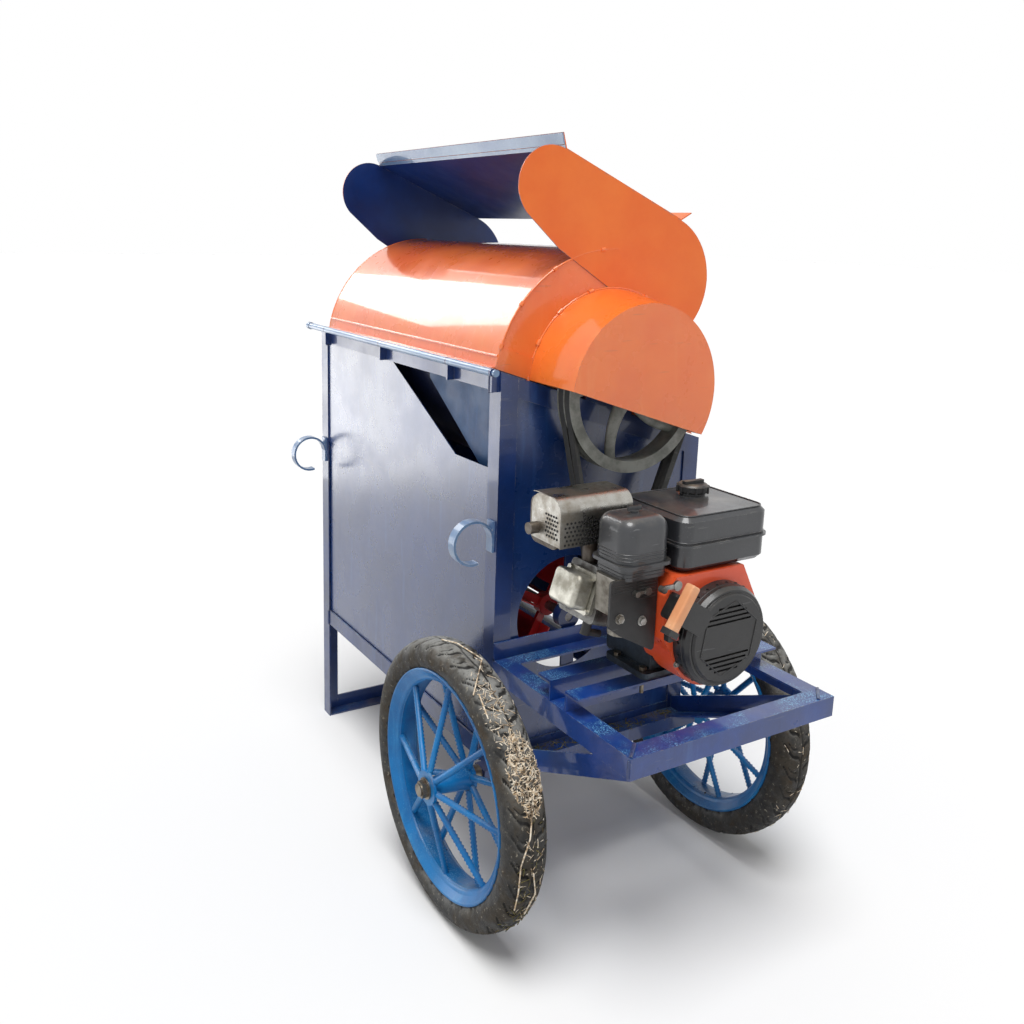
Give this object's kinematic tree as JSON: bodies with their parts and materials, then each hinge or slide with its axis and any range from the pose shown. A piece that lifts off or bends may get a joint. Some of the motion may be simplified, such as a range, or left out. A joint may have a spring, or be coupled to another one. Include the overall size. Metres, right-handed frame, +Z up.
{
  "type": "paddy thresher",
  "caption": "Engine-driven paddy thresher on spoked wheels: toothed drum under a hinged cover with a feed hood, belt drive, winnowing fan and engine platform.",
  "frame": {"origin": "on the ground under the centre of the whole machine", "axes": "+Z up; +Y along the machine from the engine platform to the rear foot; +X to the side that the grain leaves"},
  "size_m": [0.838, 1.39, 1.5522],
  "materials": {
    "frame_paint": "worn blue gloss paint",
    "platform_paint": "worn blue gloss paint",
    "panel_paint": "worn blue gloss paint on sheet steel",
    "inner_paint": "dark blue paint with dust",
    "concave_paint": "dark blue paint with dust",
    "cover_paint": "orange gloss paint",
    "guard_paint": "orange gloss paint",
    "hood_paint": "orange outside and dark blue inside",
    "wheel_paint": "sky blue paint with mud",
    "tyre": "muddy rubber",
    "hook_steel": "blue paint over steel",
    "bright_steel": "zinc plated",
    "shaft_steel": "turned",
    "cast_grey": "grey cast",
    "bearing_cast": "blue painted cast housings",
    "belt_rubber": "matt rubber",
    "drum_paint": "blue paint",
    "tooth_steel": "worn bright",
    "fan_paint": "red paint",
    "case_metal": "dark die cast",
    "cylinder_metal": "die cast",
    "valve_metal": "bare die cast",
    "shroud_paint": "orange red gloss paint",
    "recoil_plastic": "moulded, grained",
    "grip_plastic": "moulded",
    "tank_paint": "dark grey satin paint",
    "cap_plastic": "moulded",
    "cleaner_plastic": "moulded, satin",
    "carburettor_metal": "die cast",
    "panel_plastic": "moulded, grained",
    "muffler_steel": "heat tinted",
    "guard_steel": "plated perforated sheet",
    "boot_rubber": "matt",
    "lever_steel": "zinc plated",
    "switch_plastic": "red moulded knob"
  },
  "bodies": {
    "frame": {"corner_posts": "frame_paint", "top_rails": "frame_paint", "bottom_rails": "frame_paint", "foot_bar": "frame_paint", "platform_frame": "platform_paint", "engine_rails": "platform_paint", "platform_struts": "platform_paint", "axle_beam": "frame_paint", "stub_axles": "bright_steel", "left_panel_upper": "panel_paint", "left_panel_lower": "panel_paint", "right_panel": "panel_paint", "front_panel": "panel_paint", "rear_panel": "panel_paint", "straw_baffle": "inner_paint", "concave": "concave_paint", "grain_chute": "inner_paint", "carry_hooks": "hook_steel", "hinge_rod": "hook_steel", "drum_bearings": "bearing_cast", "drive_belts": "belt_rubber", "fan_bearings": "bearing_cast", "engine_crankcase": "case_metal", "engine_bolts": "bright_steel", "engine_cylinder": "cylinder_metal", "valve_cover": "valve_metal", "spark_cap": "boot_rubber", "blower_shroud": "shroud_paint", "recoil_cover": "recoil_plastic", "fuel_tank": "tank_paint", "air_cleaner_base": "cleaner_plastic", "air_cleaner_cover": "cleaner_plastic", "carburettor": "carburettor_metal", "carburettor_panel": "panel_plastic", "muffler": "muffler_steel", "muffler_guard": "guard_steel"},
    "drum": {"drum_shaft": "shaft_steel", "drum_discs": "drum_paint", "drum_bars": "drum_paint", "drum_teeth": "tooth_steel", "drum_pulley": "cast_grey"},
    "crank_pulley": {"engine_pulley": "cast_grey"},
    "fan": {"fan_shaft": "shaft_steel", "fan_rotor": "fan_paint"},
    "cover": {"cover_shell": "cover_paint", "cover_end_plates": "cover_paint", "cover_bands": "cover_paint", "cover_hinges": "hook_steel", "hood_cheeks": "hood_paint", "hood_plate": "hood_paint", "pulley_guard": "guard_paint"},
    "wheel_left": {"left_wheel": "wheel_paint", "left_tyre": "tyre"},
    "wheel_right": {"right_wheel": "wheel_paint", "right_tyre": "tyre"},
    "grip": {"recoil_grip": "grip_plastic"},
    "cap": {"fuel_cap": "cap_plastic"},
    "throttle": {"throttle_lever": "lever_steel"},
    "choke": {"choke_lever": "lever_steel"},
    "switch": {"engine_switch": "switch_plastic"}
  },
  "joints": [
    {"name": "left_wheel_spin", "type": "hinge", "parent": "frame", "child": "wheel_left", "pos_m": [-0.338, -0.275, 0.288], "axis": [1, 0, 0], "continuous": true},
    {"name": "right_wheel_spin", "type": "hinge", "parent": "frame", "child": "wheel_right", "pos_m": [0.338, -0.275, 0.288], "axis": [1, 0, 0], "continuous": true},
    {"name": "drum_spin", "type": "hinge", "parent": "frame", "child": "drum", "pos_m": [0.03, 0.19, 1.06], "axis": [0, 1, 0], "continuous": true},
    {"name": "crank_spin", "type": "hinge", "parent": "frame", "child": "crank_pulley", "pos_m": [0.005, -0.309, 0.666], "axis": [0, 1, 0], "continuous": true},
    {"name": "fan_spin", "type": "hinge", "parent": "frame", "child": "fan", "pos_m": [-0.055, 0.19, 0.575], "axis": [0, 1, 0], "continuous": true},
    {"name": "cover_hinge", "type": "hinge", "parent": "frame", "child": "cover", "pos_m": [-0.258, 0.19, 1.103], "axis": [0, -1, 0], "range_deg": [0, 95]},
    {"name": "starter_pull", "type": "slide", "parent": "frame", "child": "grip", "axis": [-0.848, 0, 0.5299], "range_m": [0, 0.25]},
    {"name": "cap_turn", "type": "hinge", "parent": "frame", "child": "cap", "pos_m": [0.051, -0.482, 0.9], "axis": [0, 0, 1], "range_deg": [0, 90]},
    {"name": "throttle_turn", "type": "hinge", "parent": "frame", "child": "throttle", "pos_m": [-0.093, -0.612, 0.77], "axis": [0, 1, 0], "range_deg": [0, 35]},
    {"name": "choke_turn", "type": "hinge", "parent": "frame", "child": "choke", "pos_m": [-0.139, -0.589, 0.76], "axis": [0, 1, 0], "range_deg": [-25, 25]},
    {"name": "switch_turn", "type": "hinge", "parent": "frame", "child": "switch", "pos_m": [-0.104, -0.624, 0.686], "axis": [0, 1, 0], "range_deg": [0, 45]}
  ],
  "couplings": [
    {"joint": "crank_spin", "follows": "drum_spin", "ratio": 3.5909},
    {"joint": "fan_spin", "follows": "drum_spin", "ratio": 1}
  ]
}
